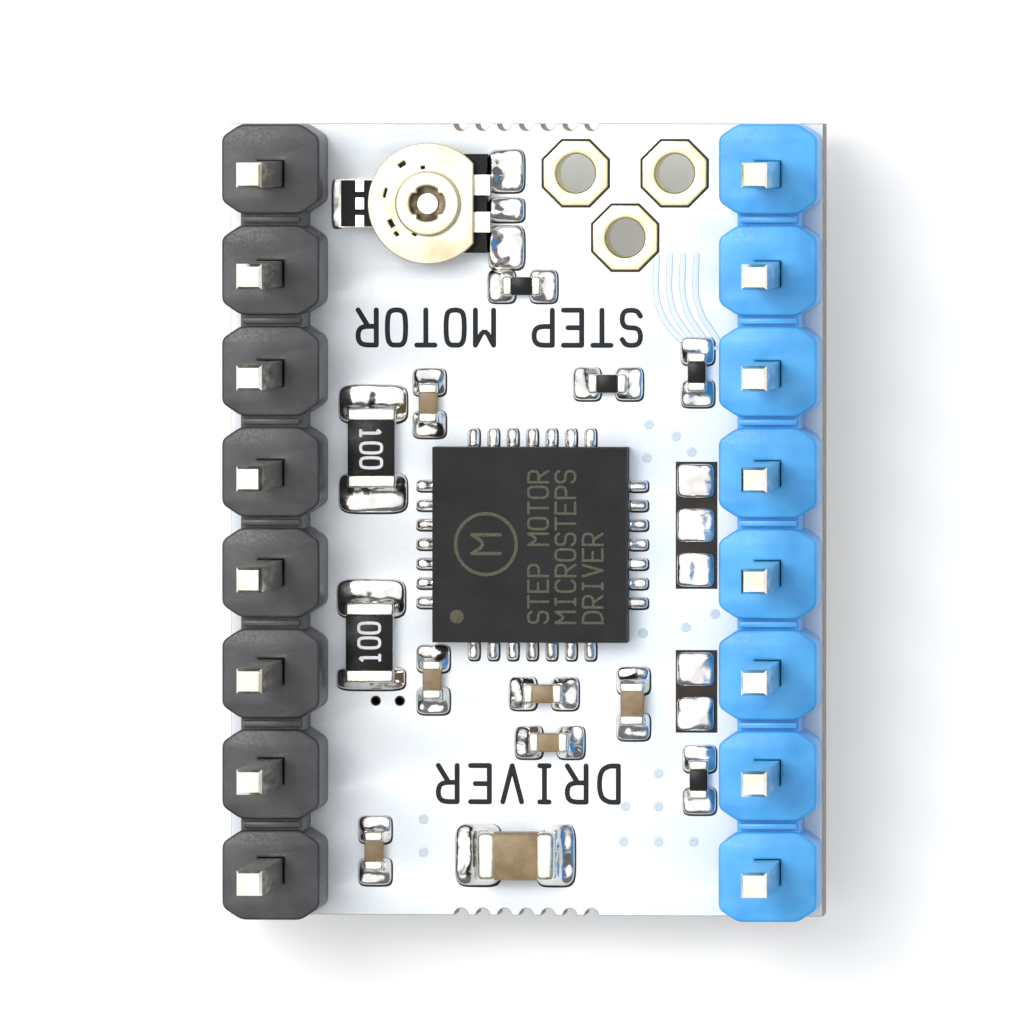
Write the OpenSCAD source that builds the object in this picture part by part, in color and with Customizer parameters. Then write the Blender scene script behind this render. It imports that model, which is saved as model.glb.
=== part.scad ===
// Plug-in stepper motor driver module: a small carrier board with a driver chip,
// a current trimmer, two sense resistors and two eight-pin headers.
// Millimetres. The module stands on the tips of its solder tails, chip side up.
// Origin: centre of the module on the surface it stands on. +Y runs along the pin rows
// and +Z is the direction in which the long pins point.

/* [Board] */
// Board width, across the two pin rows
board_w = 15.24; // [15.24:0.02:15.6]
// Board length, along the pin rows
board_l = 20.32; // [20.32:0.02:20.8]
// Board thickness
board_t = 1.6; // [1.2:0.1:2]
// Radius of the half-round notches left on the short edges
notch_r = 0.18; // [0.1:0.01:0.24]
// Distance from one notch to the next
notch_pitch = 0.56; // [0.5:0.01:0.7]
// Notches on each short edge
notch_count = 7; // [3:1:9]

/* [Headers] */
// Distance between the two pin rows
row_spacing = 12.7; // [12.6:0.01:12.72]
// Width of a header housing
housing_w = 2.5; // [2.3:0.01:2.54]
// Height of a header housing
housing_h = 2.54; // [2.3:0.01:2.8]
// Length of a pin above its housing
pin_reach = 6; // [4:0.1:8]
// Length of a pin below the board
pin_tail = 1.4; // [1.2:0.1:2]
// Width of the square pins
pin_w = 0.64; // [0.6:0.01:0.66]

/* [Driver chip] */
// Width and length of the driver chip
chip_w = 5; // [4.8:0.1:5.2]
// Height of the driver chip
chip_h = 0.85; // [0.75:0.05:1]
// Leads on each side of the chip
leads_per_side = 7; // [5:1:7]

/* [Trimmer] */
// Radius of the trimmer's rotor disc
rotor_r = 1.55; // [1.4:0.01:1.6]
// Distance from the rotor's centre to its flat
rotor_flat = 1.17; // [1.1:0.01:1.25]
// Diameter of the raised hub around the screwdriver recess
hub_d = 1.65; // [1.5:0.01:1.8]
// Half of the trimmer's turning range, in degrees; the wiper stays on the track up to here
rotor_turn = 130; // [90:5:130]

/* [Test sockets] */
// Radius of the plated test holes
socket_r = 0.5; // [0.4:0.01:0.55]
// Distance across the flats of their octagonal pads
socket_pad_w = 1.66; // [1.5:0.01:1.7]

/* [Hidden] */
$fn = 64;
pin_count = 8;
pitch = 2.54;
cut = 0.5;                              // how far a cutting shape runs past a face
film_t = 0.04;                          // copper and solder under each part
plating_t = 0.16;                       // wall of the plated barrels in the test holes
board_z = pin_tail;                     // underside of the board
board_top = pin_tail + board_t;
row_x = row_spacing / 2;

// Headers
cell_gap = 0.28;                        // gap between two housing cells, held by a neck
cell_chamfer = [0.48, 0.32];
neck_drop = 0.12;                       // necks are lower than the cells, top and bottom
pin_tip_w = 0.5;
pin_taper = 0.22;
pin_l = pin_tail + board_t + housing_h + pin_reach;
pin_hole_r = 0.5;
joint_r = 0.85;                         // solder cone around each tail, at the board
joint_tip_r = 0.5;
joint_h = 0.6;

// Driver chip
chip_place = [0.15, -0.62];
lead_pitch = 0.5;
lead_size = [0.45, 0.24, 0.2];
lead_foot = 0.48;                       // solder in front of each lead
die_pad_size = [3.1, 3.1, 0.2];
die_size = [2.4, 2.4, 0.3];

// Trimmer: heights are above the top of its solder film
trimmer_place = [-2.45, 8.12];
base_end = 1.47;                        // straight end of the resin base; its other end is round
base_w = 2.53;
base_h = 0.66;
lug_x = -2.26;                          // outer end of the base's narrow lug
lug_w = 1.18;
boss_r = 0.5;                           // boss that carries the rotor
post_r = 0.17;                          // post that the rotor turns on
post_head_r = 0.26;
post_head_h = 0.12;
running_gap = 0.03;
track_r = [0.85, 1.25];
track_t = 0.03;
track_gap_angle = 40;                   // the track stops this far each side of +X
rotor_z = 0.86;                         // underside of the rotor disc
rotor_t = 0.18;
rotor_floor_t = 0.1;
hub_h = 0.25;                           // hub height above the disc
recess_r = 0.45;
recess_slot_w = 0.5;
terminal_t = 0.1;
end_terminal_y = 0.475;
end_terminal_w = 0.52;
end_terminal_x = 0.8;
wiper_strip_w = 1.24;
wiper_strip_x = [-2.36, 0.6];
tab_x = [-1.88, -1.66];                 // upright tabs beside the rotor
tab_w = 0.3;
tab_spacing = 0.45;
wiper_size = [0.3, 0.24];
wiper_lift = 0.01;                      // gap left between wiper and track

// Solder in front of the trimmer's end terminals: low Y, high Y of each pad, from its centre
trimmer_pads_y = [[0.28, 1.4], [-0.48, 0.16], [-1.7, -0.56]];
trimmer_pad_x = [1.2, 2.4];
trimmer_fillet_h = 0.42;

// Chip parts: length, width, height
small_cap = [1, 0.5, 0.5];
wide_cap = [1.1, 0.62, 0.55];
bulk_cap = [2, 1.25, 1.1];
small_resistor = [1, 0.5, 0.33];
sense_resistor = [2.05, 1.25, 0.5];
small_end = 0.26;                       // metal end caps of the small parts
large_end = 0.34;
bulk_end = 0.5;
wrap_t = 0.03;                          // wall of the end caps
coat_t = 0.05;                          // glass coat on a resistor
small_pad_w = 0.8;                      // solder pads: width, and how far they run out
small_outs = [0.4, 0.4];                // past the part's +X end and its -X end
sense_pad_w = 1.76;
sense_outs = [[0.6, 0.65], [0.6, 0.2]];
bulk_pad_w = 1.6;
bulk_outs = [0.45, 0.63];
fillet_share = 0.6;                     // fillets climb this share of a part's height

// Places on the board: x, y, turn
capacitor_places = [[-2.5, 3, 90], [-2.4, -4.1, 90], [0.45, -4.45, 0],
                    [0.6, -5.7, 0], [2.75, -4.7, 90], [-3.9, -8.5, 90]];
capacitor_sizes = [small_cap, small_cap, small_cap, small_cap, wide_cap, small_cap];
resistor_places = [[2.1, 3.5, 0], [4.4, 3.8, 90], [4.45, -6.65, 90], [-0.1, 6, 0]];
sense_places = [[-3.95, 1.85, 90], [-4, -3.15, 90]];
bulk_place = [-0.2, -8.6, 0];
socket_places = [[1.27, 8.89], [3.81, 8.89], [2.54, 7.24]];
via_places = [[-3.88, -4.66], [-3.26, -4.66]];
via_r = 0.12;

// Solder jumpers: x, y of the middle, number of pads in a column
jumper_places = [[4.37, -0.13, 3], [4.37, -4.39, 2]];
jumper_pitch = 1.14;
jumper_pad = [1, 0.9, 0.14];

// Bare metal on the back that a heat sink is stuck to
spreader_size = [8.4, 10.4, 0.05];
spreader_place = [0, -0.6];

// Y of a pin; pin 0 is at the +Y end
function pin_y(i) = ((pin_count - 1) / 2 - i) * pitch;

// ---------- Board ----------

module circuit_board() {
    color("ghostwhite")
    translate([0, 0, board_z])
    linear_extrude(board_t)
    difference() {
        square([board_w, board_l], center = true);
        edge_notches();
        for (side = [-1, 1], i = [0 : pin_count - 1])
            translate([side * row_x, pin_y(i)]) circle(pin_hole_r);
        for (place = socket_places) translate(place) circle(socket_r + plating_t);
        for (place = via_places) translate(place) circle(via_r);
    }
}

module edge_notches() {
    for (side = [-1, 1], i = [0 : notch_count - 1])
        translate([(i - (notch_count - 1) / 2) * notch_pitch, side * board_l / 2])
        circle(notch_r);
}

// Plated hole with an octagonal pad on each face
module test_socket(i) {
    color("gold")
    translate(concat(socket_places[i], board_z))
    difference() {
        union() {
            cylinder(r = socket_r + plating_t, h = board_t);
            for (z = [-film_t, board_t])
                translate([0, 0, z]) rotate(180 / 8)
                cylinder(r = socket_pad_w / 2 / cos(180 / 8), h = film_t, $fn = 8);
        }
        translate([0, 0, -cut]) cylinder(r = socket_r, h = board_t + 2 * cut);
    }
}

module heat_spreader_pad() {
    color("silver")
    translate([spreader_place[0], spreader_place[1], board_z - spreader_size[2] / 2])
    cube(spreader_size, center = true);
}

// ---------- Headers ----------

// Outline of one housing cell; the cells at both ends of a row run to the end of the strip
module cell_outline(i) {
    half_w = housing_w / 2;
    half_gap = cell_gap / 2;
    top = pitch / 2 - (i == 0 ? 0 : half_gap);
    bottom = -pitch / 2 + (i == pin_count - 1 ? 0 : half_gap);
    cx = cell_chamfer[0];
    cy = cell_chamfer[1];
    polygon([[-half_w, bottom + cy], [-half_w + cx, bottom], [half_w - cx, bottom],
             [half_w, bottom + cy], [half_w, top - cy], [half_w - cx, top],
             [-half_w + cx, top], [-half_w, top - cy]]);
}

module header_housing(side) {
    neck_w = housing_w - 2 * cell_chamfer[0];
    translate([side * row_x, 0, board_top])
    difference() {
        union() {
            for (i = [0 : pin_count - 1])
                translate([0, pin_y(i), 0]) linear_extrude(housing_h) cell_outline(i);
            translate([0, 0, housing_h / 2])
            cube([neck_w, pitch * (pin_count - 1), housing_h - 2 * neck_drop], center = true);
        }
        for (i = [0 : pin_count - 1])
            translate([0, pin_y(i), -cut])
            linear_extrude(housing_h + 2 * cut)
            square(pin_w, center = true);
    }
}

module pin_outline() {
    half_w = pin_w / 2;
    half_tip = pin_tip_w / 2;
    polygon([[-half_tip, 0], [half_tip, 0], [half_w, pin_taper], [half_w, pin_l - pin_taper],
             [half_tip, pin_l], [-half_tip, pin_l], [-half_w, pin_l - pin_taper],
             [-half_w, pin_taper]]);
}

// Square pin with both ends tapered on all four sides
module header_pin(side, i) {
    color("lightgray")
    translate([side * row_x, pin_y(i), 0])
    intersection() {
        rotate([90, 0, 0]) linear_extrude(pin_w, center = true) pin_outline();
        rotate([90, 0, 90]) linear_extrude(pin_w, center = true) pin_outline();
    }
}

// Solder that fills each pin's hole and rises in a cone around its tail
module pin_solder_joints() {
    color("silver")
    for (side = [-1, 1], i = [0 : pin_count - 1])
        translate([side * row_x, pin_y(i), board_z])
        difference() {
            union() {
                cylinder(r = pin_hole_r, h = board_t);
                translate([0, 0, -joint_h]) cylinder(r1 = joint_tip_r, r2 = joint_r, h = joint_h);
            }
            cube([pin_w, pin_w, 2 * (board_t + joint_h + cut)], center = true);
        }
}

// ---------- Driver chip ----------

module at_chip() {
    translate([chip_place[0], chip_place[1], board_top + film_t]) children();
}

// Repeats its children at every lead: x = 0 is the chip's side, +X points away from the chip
module at_each_lead() {
    for (turn = [0 : 90 : 270], i = [0 : leads_per_side - 1])
        rotate(turn)
        translate([chip_w / 2, (i - (leads_per_side - 1) / 2) * lead_pitch, 0])
        children();
}

module lead_blocks() {
    at_each_lead()
        translate([-lead_size[0], -lead_size[1] / 2, 0]) cube(lead_size);
}

module die_pad_block() {
    translate([0, 0, die_pad_size[2] / 2]) cube(die_pad_size, center = true);
}

module die_block() {
    translate([0, 0, die_pad_size[2] + die_size[2] / 2]) cube(die_size, center = true);
}

module driver_chip_body() {
    color("dimgray")
    at_chip()
    difference() {
        translate([0, 0, chip_h / 2]) cube([chip_w, chip_w, chip_h], center = true);
        lead_blocks();
        die_pad_block();
        die_block();
    }
}

module driver_chip_leads() {
    color("silver") at_chip() lead_blocks();
}

module driver_chip_die_pad() {
    color("peru") at_chip() die_pad_block();
}

module driver_chip_die() {
    color("slategray") at_chip() die_block();
}

// A film under each lead with a sloped fillet in front of it, and a film under the die pad
module driver_chip_solder() {
    color("silver")
    at_chip() {
        at_each_lead()
            solder_foot(lead_size[0], lead_foot, lead_size[1], lead_size[1], lead_size[2]);
        translate([0, 0, -film_t / 2]) cube([die_pad_size[0], die_pad_size[1], film_t], center = true);
    }
}

// Solder below z = 0 and in front of x = 0: a film with a fillet that climbs the part's end
module solder_foot(under, out, film_w, fillet_w, fillet_h) {
    translate([-under, -film_w / 2, -film_t]) cube([under + out, film_w, film_t]);
    translate([0, fillet_w / 2, 0])
    rotate([90, 0, 0])
    linear_extrude(fillet_w)
    polygon([[0, 0], [out, 0], [0, fillet_h]]);
}

// ---------- Trimmer ----------

module at_trimmer() {
    translate([trimmer_place[0], trimmer_place[1], board_top + film_t]) children();
}

module trimmer_base() {
    color([0.1, 0.1, 0.1])
    at_trimmer()
    difference() {
        union() {
            cylinder(r = base_w / 2, h = base_h);
            translate([0, -base_w / 2, 0]) cube([base_end, base_w, base_h]);
            translate([lug_x, -lug_w / 2, 0]) cube([-lug_x, lug_w, base_h]);
            cylinder(r = boss_r, h = rotor_z - wiper_lift);
        }
        wiper_terminal_strip();
        wiper_terminal_tabs();
        translate([0, 0, -cut]) cylinder(r = post_r, h = rotor_z + 2 * cut);
    }
}

// Ring-shaped resistive track, open towards +X where its two ends meet the end terminals
module trimmer_track() {
    far = 2 * track_r[1];
    color([0.2, 0.16, 0.12])
    at_trimmer()
    translate([0, 0, base_h])
    linear_extrude(track_t)
    difference() {
        circle(track_r[1]);
        circle(track_r[0]);
        polygon([[0, 0], [far, -far * tan(track_gap_angle)], [far, far * tan(track_gap_angle)]]);
        for (side = [-1, 1])
            translate([end_terminal_x, side * end_terminal_y - end_terminal_w / 2])
            square([base_end, end_terminal_w]);
    }
}

module trimmer_rotor() {
    hub_top = rotor_t + hub_h;
    color("wheat")
    at_trimmer()
    translate([0, 0, rotor_z])
    difference() {
        union() {
            intersection() {
                cylinder(r = rotor_r, h = rotor_t);
                translate([rotor_flat - 2 * rotor_r, -rotor_r, 0])
                cube([2 * rotor_r, 2 * rotor_r, rotor_t]);
            }
            cylinder(r = hub_d / 2, h = hub_top);
        }
        translate([0, 0, rotor_floor_t]) screwdriver_recess(hub_top);
        translate([0, 0, -cut]) cylinder(r = post_r + running_gap, h = hub_top + 2 * cut);
    }
}

// Cross-shaped recess with a round well over the post's head
module screwdriver_recess(depth) {
    linear_extrude(depth)
    union() {
        circle(post_head_r + running_gap);
        intersection() {
            circle(recess_r);
            union() {
                square([2 * recess_r, recess_slot_w], center = true);
                square([recess_slot_w, 2 * recess_r], center = true);
            }
        }
    }
}

// Contact under the rotor, on the side away from the flat
module trimmer_wiper() {
    low = base_h + track_t + wiper_lift;
    color("gold")
    at_trimmer()
    translate([-(track_r[0] + track_r[1]) / 2, 0, (low + rotor_z) / 2])
    cube([wiper_size[0], wiper_size[1], rotor_z - low], center = true);
}

module wiper_terminal_strip() {
    translate([wiper_strip_x[0], -wiper_strip_w / 2, 0])
    cube([wiper_strip_x[1] - wiper_strip_x[0], wiper_strip_w, terminal_t]);
}

module wiper_terminal_tabs() {
    for (i = [-1 : 1])
        translate([tab_x[0], i * tab_spacing - tab_w / 2, 0])
        cube([tab_x[1] - tab_x[0], tab_w, base_h + terminal_t]);
}

// Strip under the base, with three upright tabs and the post that holds the rotor down
module trimmer_wiper_terminal() {
    head_z = rotor_z + rotor_floor_t + wiper_lift;
    color("silver")
    at_trimmer() {
        wiper_terminal_strip();
        wiper_terminal_tabs();
        cylinder(r = post_r, h = head_z + post_head_h);
        translate([0, 0, head_z]) cylinder(r = post_head_r, h = post_head_h);
    }
}

// Strip that lies on the base and folds down its end to the board
module trimmer_end_terminal(side) {
    color("silver")
    at_trimmer()
    translate([0, side * end_terminal_y + end_terminal_w / 2, 0])
    rotate([90, 0, 0])
    linear_extrude(end_terminal_w)
    polygon([[end_terminal_x, base_h], [base_end, base_h], [base_end, 0],
             [base_end + terminal_t, 0], [base_end + terminal_t, base_h + terminal_t],
             [end_terminal_x, base_h + terminal_t]]);
}

module trimmer_solder() {
    front = base_end + terminal_t;
    color("silver")
    at_trimmer() {
        for (span = trimmer_pads_y) {
            translate([trimmer_pad_x[0], span[0], -film_t])
            cube([trimmer_pad_x[1] - trimmer_pad_x[0], span[1] - span[0], film_t]);
            translate([front, span[1], 0])
            rotate([90, 0, 0])
            linear_extrude(span[1] - span[0])
            polygon([[0, 0], [trimmer_pad_x[1] - front, 0], [0, trimmer_fillet_h]]);
        }
        translate([wiper_strip_x[0], 0, 0])
        rotate(180)
        solder_foot(2 * terminal_t, 2 * terminal_t, wiper_strip_w, wiper_strip_w, terminal_t);
    }
}

// ---------- Chip resistors and capacitors ----------

// Moves a part to its place; its length runs along X before the turn
module at_place(place) {
    translate([place[0], place[1], board_top + film_t]) rotate(place[2]) children();
}

// What lies inside the end caps
module part_core(size) {
    translate([0, 0, size[2] / 2])
    cube([size[0] - 2 * wrap_t, size[1] - 2 * wrap_t, size[2] - 2 * wrap_t], center = true);
}

// Metal cap on each end, wrapped around the core
module part_ends(size, end_l) {
    difference() {
        for (side = [-1, 1])
            translate([side * (size[0] - end_l) / 2, 0, size[2] / 2])
            cube([end_l, size[1], size[2]], center = true);
        part_core(size);
    }
}

// Glass coat on top of a resistor, between its end caps
module part_coat(size, end_l) {
    translate([0, 0, size[2] - wrap_t + coat_t / 2])
    cube([size[0] - 2 * end_l, size[1] - 2 * wrap_t, coat_t], center = true);
}

// A film under each end with a fillet in front of it; outs says how far the solder runs out
// past the part's +X end and its -X end
module part_solder(size, end_l, outs, pad_w) {
    for (end = [0, 1])
        rotate(180 * end)
        translate([size[0] / 2, 0, 0])
        solder_foot(end_l, outs[end], pad_w, size[1], size[2] * fillet_share);
}

module capacitor(i) {
    color("tan") at_place(capacitor_places[i]) part_core(capacitor_sizes[i]);
}

module capacitor_ends() {
    color("lightgray")
    for (i = [0 : 5]) at_place(capacitor_places[i]) part_ends(capacitor_sizes[i], small_end);
}

module bulk_capacitor() {
    color("tan") at_place(bulk_place) part_core(bulk_cap);
}

module bulk_capacitor_ends() {
    color("lightgray") at_place(bulk_place) part_ends(bulk_cap, bulk_end);
}

module resistor(i) {
    color("white") at_place(resistor_places[i]) part_core(small_resistor);
}

module resistor_coats() {
    color([0.12, 0.12, 0.12])
    for (place = resistor_places) at_place(place) part_coat(small_resistor, small_end);
}

module resistor_ends() {
    color("lightgray")
    for (place = resistor_places) at_place(place) part_ends(small_resistor, small_end);
}

module sense_resistor(i) {
    color("white") at_place(sense_places[i]) part_core(sense_resistor);
}

module sense_resistor_coats() {
    color([0.12, 0.12, 0.12])
    for (place = sense_places) at_place(place) part_coat(sense_resistor, large_end);
}

module sense_resistor_ends() {
    color("lightgray")
    for (place = sense_places) at_place(place) part_ends(sense_resistor, large_end);
}

module passive_solder() {
    color("silver") {
        for (i = [0 : 5])
            at_place(capacitor_places[i])
            part_solder(capacitor_sizes[i], small_end, small_outs, small_pad_w);
        for (place = resistor_places)
            at_place(place) part_solder(small_resistor, small_end, small_outs, small_pad_w);
        for (i = [0 : 1])
            at_place(sense_places[i])
            part_solder(sense_resistor, large_end, sense_outs[i], sense_pad_w);
        at_place(bulk_place) part_solder(bulk_cap, bulk_end, bulk_outs, bulk_pad_w);
    }
}

// Flat pads side by side that a blob of solder can join
module solder_jumpers() {
    color("silver")
    for (jumper = jumper_places, i = [0 : jumper[2] - 1])
        translate([jumper[0], jumper[1] + (i - (jumper[2] - 1) / 2) * jumper_pitch,
                   board_top + jumper_pad[2] / 2])
        cube(jumper_pad, center = true);
}

circuit_board();
color([0.2, 0.2, 0.21]) header_housing(-1);  // black_header_housing
color("dodgerblue") header_housing(1);  // blue_header_housing
for (i = [0 : pin_count - 1])
    header_pin(-1, i);
for (i = [0 : pin_count - 1])
    header_pin(1, i);
pin_solder_joints();
driver_chip_body();
driver_chip_leads();
driver_chip_die_pad();
driver_chip_die();
driver_chip_solder();
trimmer_base();
trimmer_track();
trimmer_rotor();
trimmer_wiper();
trimmer_wiper_terminal();
trimmer_end_terminal(1);  // trimmer_end_terminal_1
trimmer_end_terminal(-1);  // trimmer_end_terminal_2
trimmer_solder();
for (i = [0 : 1])
    sense_resistor(i);
sense_resistor_coats();
sense_resistor_ends();
bulk_capacitor();
bulk_capacitor_ends();
for (i = [0 : 5])
    capacitor(i);
capacitor_ends();
for (i = [0 : 3])
    resistor(i);
resistor_coats();
resistor_ends();
passive_solder();
solder_jumpers();
for (i = [0 : 2])
    test_socket(i);
heat_spreader_pad();
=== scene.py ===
"""Looks for the stepper driver module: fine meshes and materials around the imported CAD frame.

Shapes are built in millimetres and scaled to metres as they become objects.
"""

import math
import random

import bmesh
import bpy
from mathutils import Matrix, Vector, noise


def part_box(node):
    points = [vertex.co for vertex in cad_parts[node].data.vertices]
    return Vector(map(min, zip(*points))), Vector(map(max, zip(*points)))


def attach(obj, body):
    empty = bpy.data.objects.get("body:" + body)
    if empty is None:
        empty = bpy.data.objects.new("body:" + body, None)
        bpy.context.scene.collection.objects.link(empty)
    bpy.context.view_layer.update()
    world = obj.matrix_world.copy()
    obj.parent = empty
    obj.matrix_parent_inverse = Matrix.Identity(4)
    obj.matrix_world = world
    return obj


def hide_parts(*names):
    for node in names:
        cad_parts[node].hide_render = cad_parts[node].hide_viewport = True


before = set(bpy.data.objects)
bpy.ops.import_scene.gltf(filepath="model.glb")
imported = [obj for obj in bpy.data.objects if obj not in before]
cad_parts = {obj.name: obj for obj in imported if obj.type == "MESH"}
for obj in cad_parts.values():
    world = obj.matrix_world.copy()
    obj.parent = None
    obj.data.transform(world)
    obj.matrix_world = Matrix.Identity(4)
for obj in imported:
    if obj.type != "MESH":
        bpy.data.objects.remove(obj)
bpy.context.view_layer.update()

MM = 0.001
MAIN = "module"
ROTOR = "trimmer_rotor"
PINS = 8
ROWS = ("black", "blue")
FULL_TURN = 2 * math.pi

random.seed(7)


# ---------- Places, read from the frame in millimetres ----------

def box_mm(node):
    low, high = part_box(node)
    return low / MM, high / MM


def centre_mm(node):
    low, high = box_mm(node)
    return (low + high) / 2


board_low, board_high = box_mm("circuit_board")
TOP = board_high.z
UNDER = board_low.z
FILM = 0.04                     # copper and solder under each part


# ---------- Materials ----------

class Nodes:
    """Shorthand for building one node material."""

    def __init__(self, name):
        self.material = bpy.data.materials.new(name)
        self.material.use_nodes = True
        self.tree = self.material.node_tree
        self.shader = self.tree.nodes["Principled BSDF"]
        coords = self.tree.nodes.new("ShaderNodeTexCoord")
        self.place = coords.outputs["Object"]

    def add(self, kind, **sockets):
        node = self.tree.nodes.new(kind)
        for key, value in sockets.items():
            self.set(node, key, value)
        return node

    def set(self, node, key, value):
        socket = node.inputs[key.replace("_", " ")] if isinstance(key, str) else node.inputs[key]
        if isinstance(value, bpy.types.NodeSocket):
            self.tree.links.new(value, socket)
        else:
            socket.default_value = value

    def stretched(self, scale):
        """Coordinates multiplied by scale on each axis."""
        node = self.add("ShaderNodeMapping", Vector=self.place)
        node.inputs["Scale"].default_value = scale
        return node.outputs["Vector"]

    def noise(self, size_mm, detail=3.0, place=None):
        """Noise whose blotches are about size_mm across."""
        node = self.add("ShaderNodeTexNoise", Vector=place or self.place,
                        Scale=1 / (size_mm * MM), Detail=detail)
        return node.outputs["Fac"]

    def ramp(self, value, low, high, start=0.35, end=0.65):
        """Value between start and end mapped to low..high, numbers or colours."""
        if isinstance(low, (int, float)):
            node = self.add("ShaderNodeMapRange", Value=value)
            for key, number in (("From Min", start), ("From Max", end),
                                ("To Min", low), ("To Max", high)):
                node.inputs[key].default_value = number
            return node.outputs["Result"]
        node = self.add("ShaderNodeValToRGB", Fac=value)
        stops = node.color_ramp.elements
        stops[0].position, stops[1].position = start, end
        stops[0].color, stops[1].color = (*low, 1), (*high, 1)
        return node.outputs["Color"]

    def mix(self, factor, low, high):
        node = self.tree.nodes.new("ShaderNodeMix")
        node.data_type = "RGBA"
        for index, value in ((0, factor), (6, low), (7, high)):
            if isinstance(value, tuple):
                value = (*value, 1)
            self.set(node, index, value)
        return node.outputs[2]

    def bump(self, height, depth_mm, strength):
        node = self.add("ShaderNodeBump", Height=height, Strength=strength, Distance=depth_mm * MM)
        return node.outputs["Normal"]

    def painted_edge_shading(self, radius_mm, start=0.02, end=0.12):
        """1 along outside edges, 0 on flats: the mask for painted highlights and painted shade
        along edges.
        """
        bevel = self.tree.nodes.new("ShaderNodeBevel")
        bevel.samples = 4
        bevel.inputs["Radius"].default_value = radius_mm * MM
        geometry = self.tree.nodes.new("ShaderNodeNewGeometry")
        product = self.tree.nodes.new("ShaderNodeVectorMath")
        product.operation = "DOT_PRODUCT"
        self.tree.links.new(bevel.outputs["Normal"], product.inputs[0])
        self.tree.links.new(geometry.outputs["Normal"], product.inputs[1])
        return self.ramp(product.outputs["Value"], 1.0, 0.0, 1 - end, 1 - start)

    def finish(self, **sockets):
        for key, value in sockets.items():
            self.set(self.shader, key, (*value, 1) if isinstance(value, tuple) else value)
        return self.material


def metal(name, dark, light, rough, spread=0.08, grain_mm=0.25, bump_mm=0.002, stretch=(1, 1, 1)):
    """Metal with cloudy colour, uneven gloss and fine surface grain."""
    n = Nodes(name)
    place = n.stretched(stretch)
    cloud = n.noise(grain_mm * 4, 4, place)
    grain = n.noise(grain_mm, 5, place)
    return n.finish(Base_Color=n.ramp(cloud, dark, light), Metallic=1.0,
                    Roughness=n.ramp(grain, rough - spread, rough + spread),
                    Normal=n.bump(grain, bump_mm, 0.6))


def plastic(name, dark, light, rough, grain_mm=0.06, bump_mm=0.004, edge_highlight=None, specular=0.5):
    """Moulded plastic with fine grain, faint clouds of colour and lighter edges, a painted
    highlight.
    """
    n = Nodes(name)
    cloud = n.noise(1.1, 4)
    grain = n.noise(grain_mm, 3)
    colour = n.ramp(cloud, dark, light)
    # painted highlight: every edge lighter than the flats
    if edge_highlight:
        colour = n.mix(n.painted_edge_shading(0.05), colour, edge_highlight)
    return n.finish(Base_Color=colour, Specular_IOR_Level=specular,
                    Roughness=n.ramp(grain, rough - 0.07, rough + 0.07),
                    Normal=n.bump(grain, bump_mm, 0.5))


def solder_mask():
    """White lacquer over glass cloth: a faint weave shows in its gloss."""
    n = Nodes("solder_mask_white")
    weave = n.add("ShaderNodeTexWave", Vector=n.place, Scale=1 / (0.5 * MM) / FULL_TURN * 6,
                  Distortion=1.5, Detail=2.0)
    cloud = n.noise(2.4, 5)
    speck = n.noise(0.08, 2)
    colour = n.ramp(cloud, (0.8, 0.85, 0.9), (0.88, 0.91, 0.93), 0.3, 0.7)
    height = n.mix(0.8, speck, weave.outputs["Color"])
    return n.finish(Base_Color=colour, Roughness=n.ramp(speck, 0.26, 0.4),
                    Normal=n.bump(height, 0.003, 0.2), Coat_Weight=0.2, Coat_Roughness=0.12)


def board_edge():
    """Sawn glass-fibre edge: thin layers of cloth in yellowish resin."""
    n = Nodes("board_edge_fibre")
    layers = n.noise(0.07, 4, n.stretched((0.2, 0.2, 1)))
    fibres = n.noise(0.05, 4, n.stretched((1, 1, 0.3)))
    colour = n.ramp(layers, (0.25, 0.2, 0.13), (0.45, 0.4, 0.29))
    return n.finish(Base_Color=colour, Roughness=n.ramp(fibres, 0.55, 0.8),
                    Normal=n.bump(fibres, 0.01, 0.8))


def ceramic(name, dark, light, rough):
    """Fired ceramic: speckled, with a slightly pitted surface."""
    n = Nodes(name)
    speck = n.noise(0.05, 3)
    cloud = n.noise(0.5, 3)
    pits = n.add("ShaderNodeTexVoronoi", Vector=n.place, Scale=1 / (0.07 * MM))
    colour = n.mix(n.ramp(speck, 0.0, 0.5), n.ramp(cloud, dark, light), light)
    return n.finish(Base_Color=colour, Roughness=n.ramp(speck, rough - 0.08, rough + 0.08),
                    Normal=n.bump(pits.outputs["Distance"], 0.004, 0.5))


def ink(name, dark, light, rough=0.6):
    """Printed or laser-marked lines with uneven coverage."""
    n = Nodes(name)
    grain = n.noise(0.05, 4)
    return n.finish(Base_Color=n.ramp(grain, dark, light, 0.3, 0.75), Roughness=rough,
                    Normal=n.bump(grain, 0.003, 0.5))


def rotor_plate():
    """Pale plated metal with faint warm stains; its darker brown edges are painted shade."""
    n = Nodes("rotor_plate_pale")
    stain = n.noise(1.3, 4)
    grain = n.noise(0.12, 5)
    colour = n.mix(n.ramp(stain, 0.0, 0.85, 0.5, 0.68), (0.79, 0.74, 0.56), (0.66, 0.53, 0.33))
    # painted shade: darker brown along the edges
    colour = n.mix(n.painted_edge_shading(0.06), colour, (0.42, 0.36, 0.22))
    return n.finish(Base_Color=colour, Metallic=0.85, Roughness=n.ramp(grain, 0.36, 0.5),
                    Normal=n.bump(grain, 0.003, 0.6))


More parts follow.
